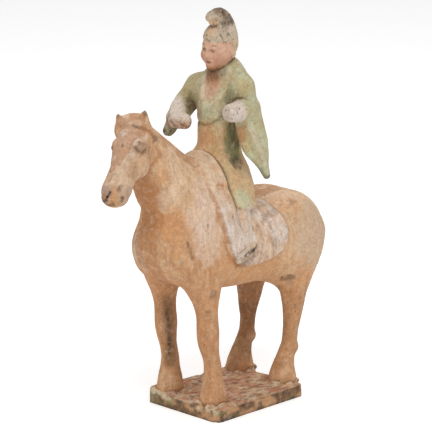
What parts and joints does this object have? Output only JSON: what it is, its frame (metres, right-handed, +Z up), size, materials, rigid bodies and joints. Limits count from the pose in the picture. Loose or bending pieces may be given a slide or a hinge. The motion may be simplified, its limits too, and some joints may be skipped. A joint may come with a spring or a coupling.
{
  "type": "horse and rider figure",
  "caption": "Standing horse carrying a rider in a long-sleeved robe, on a flat slab, in matte painted earthenware.",
  "frame": {"origin": "on the slab's underside, below the horse's middle", "axes": "+Z up; the horse's body points along -Y, and its left flank faces +X"},
  "size_m": [0.1009, 0.2897, 0.3736],
  "materials": {
    "painted_earthenware": "matte"
  },
  "bodies": {
    "root": {"horse_and_rider": "painted_earthenware"}
  },
  "joints": []
}
